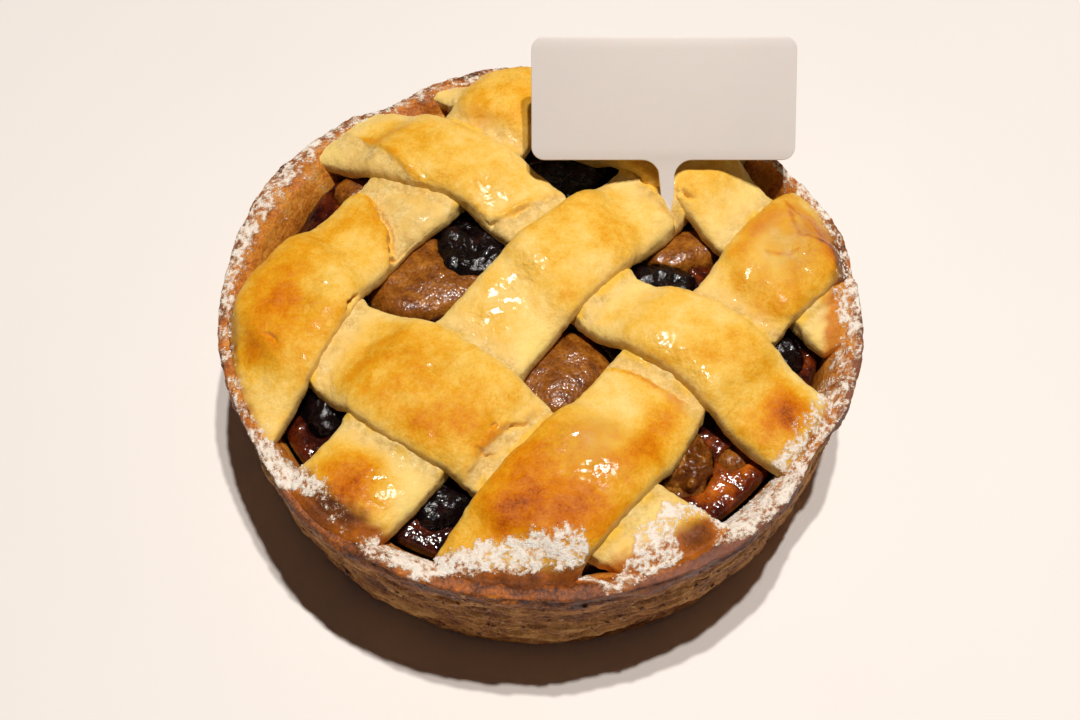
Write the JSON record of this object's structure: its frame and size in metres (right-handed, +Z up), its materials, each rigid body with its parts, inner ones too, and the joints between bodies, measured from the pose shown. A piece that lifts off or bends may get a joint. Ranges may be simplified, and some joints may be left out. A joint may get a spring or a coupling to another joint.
{
  "type": "apple tart",
  "caption": "Small round apple tart: a pastry case with apple and dark fruit filling under a woven pastry lattice, with a blank plastic name tag pushed into the top.",
  "frame": {"origin": "middle of the base, where the tart rests", "axes": "+Z up, -Y the front that the picture shows nearest, +X to the right"},
  "size_m": [0.106, 0.106, 0.0502],
  "materials": {
    "crust": "egg-washed golden pastry, satin with glossy spots, browned on the high places",
    "case": "dry baked shortcrust, flaky, dusted with icing sugar at the rim",
    "filling": "wet dark red-brown fruit jelly",
    "apple": "cooked apple, moist, brown",
    "dark_fruit": "wrinkled, wet, almost black",
    "tag": "satin white plastic"
  },
  "bodies": {
    "root": {"tart_shell": "case", "apple_filling": "filling", "apple_piece_1": "apple", "apple_piece_2": "apple", "apple_piece_3": "apple", "apple_piece_4": "apple", "apple_piece_5": "apple", "apple_piece_6": "apple", "dark_fruit_1": "dark_fruit", "dark_fruit_2": "dark_fruit", "dark_fruit_3": "dark_fruit", "dark_fruit_4": "dark_fruit", "dark_fruit_5": "dark_fruit", "dark_fruit_6": "dark_fruit", "lattice_strip_a1": "crust", "lattice_strip_a2": "crust", "lattice_strip_a3": "crust", "lattice_strip_b0": "crust", "lattice_strip_b1": "crust", "lattice_strip_b2": "crust", "name_tag": "tag"}
  },
  "joints": []
}
